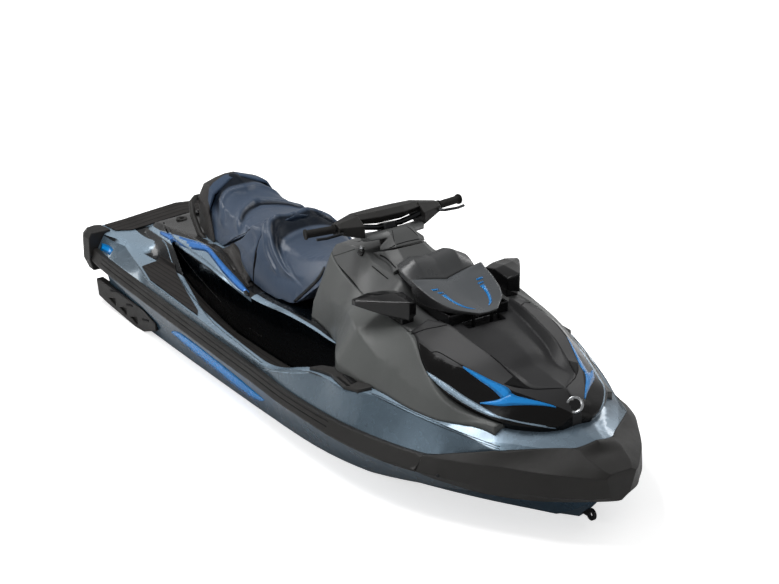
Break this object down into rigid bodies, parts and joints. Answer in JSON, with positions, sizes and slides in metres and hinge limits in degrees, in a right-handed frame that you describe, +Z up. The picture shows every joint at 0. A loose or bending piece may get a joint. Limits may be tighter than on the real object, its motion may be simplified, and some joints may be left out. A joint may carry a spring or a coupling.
{
  "type": "personal watercraft",
  "caption": "Three-seat jet-driven personal watercraft with a vee hull, stepped seat, handlebar steering, storage lid, reverse bucket and folding boarding ladder.",
  "frame": {"origin": "on the waterline of the empty craft, on the centre plane, amidships", "axes": "+X to the bow, +Y to port, +Z up"},
  "size_m": [3.437, 1.2524, 1.1411],
  "materials": {
    "hull_paint": "metallic gel coat, gloss",
    "deck_paint": "metallic gel coat, gloss",
    "trim_black": "moulded, fine grain",
    "panel_grey": "moulded, satin",
    "hood_dark": "satin gloss",
    "seat_vinyl": "grained vinyl",
    "mat_foam": "closed-cell foam",
    "cast_metal": "machined casting",
    "steel": "polished",
    "engine_metal": "cast",
    "grip_rubber": "textured",
    "mirror_face": "silvered",
    "display_glass": "dark cover glass"
  },
  "bodies": {
    "hull": {"bow_bumper": "trim_black", "bow_eye": "steel", "cargo_sockets": "trim_black", "column_shroud": "panel_grey", "console": "panel_grey", "deck": "deck_paint", "engine_block": "engine_metal", "footwell_mats": "mat_foam", "grab_handle": "trim_black", "gunwale_mats": "mat_foam", "hood": "hood_dark", "hull": "hull_paint", "intake_grate": "cast_metal", "ladder_brackets": "steel", "lid_hinge": "steel", "mirror_glass": "mirror_face", "mirrors": "trim_black", "pedestal_panels": "deck_paint", "platform_mat": "mat_foam", "pump_housing": "cast_metal", "ride_plate": "cast_metal", "rub_rails": "trim_black", "seat_front": "seat_vinyl", "seat_rear": "seat_vinyl", "seat_shell": "trim_black", "side_panels": "panel_grey", "side_vents": "trim_black", "sponsons": "trim_black", "steering_column": "trim_black", "stern_bumpers": "trim_black", "stern_eyes": "steel", "storage_bin": "trim_black"},
    "steering": {"handlebar": "steel", "grips": "grip_rubber", "bar_cover": "trim_black", "switch_housings": "trim_black", "control_levers": "trim_black", "steering_shroud": "panel_grey"},
    "nozzle": {"steering_nozzle": "cast_metal"},
    "bucket": {"reverse_bucket": "cast_metal"},
    "impeller": {"impeller": "steel"},
    "storage_lid": {"storage_lid": "hood_dark", "gauge_pod": "hood_dark", "gauge_display": "display_glass"},
    "glovebox_lid": {"glovebox_lid": "panel_grey"},
    "ladder": {"boarding_ladder": "steel"}
  },
  "joints": [
    {"name": "steering", "type": "hinge", "parent": "hull", "child": "steering", "pos_m": [0.16, 0, 0.79], "axis": [-0.342, 0, 0.9397], "range_deg": [-22, 22]},
    {"name": "nozzle_steer", "type": "hinge", "parent": "hull", "child": "nozzle", "pos_m": [-1.5, 0, -0.095], "axis": [0, 0, 1], "range_deg": [-20, 20]},
    {"name": "reverse_bucket", "type": "hinge", "parent": "hull", "child": "bucket", "pos_m": [-1.5, 0, -0.06], "axis": [0, -1, 0], "range_deg": [0, 58]},
    {"name": "impeller_spin", "type": "hinge", "parent": "hull", "child": "impeller", "pos_m": [-1.29, 0, -0.095], "axis": [1, 0, 0], "continuous": true},
    {"name": "storage_lid", "type": "hinge", "parent": "hull", "child": "storage_lid", "pos_m": [0.828, 0, 0.633], "axis": [0, 1, 0], "range_deg": [0, 60]},
    {"name": "glovebox_lid", "type": "hinge", "parent": "hull", "child": "glovebox_lid", "pos_m": [0.05, 0, 0.707], "axis": [0, 1, 0], "range_deg": [0, 75]},
    {"name": "boarding_ladder", "type": "hinge", "parent": "hull", "child": "ladder", "pos_m": [-1.49, 0, -0.01], "axis": [0, -1, 0], "range_deg": [0, 115]}
  ],
  "couplings": [
    {"joint": "nozzle_steer", "follows": "steering", "ratio": -0.9}
  ]
}
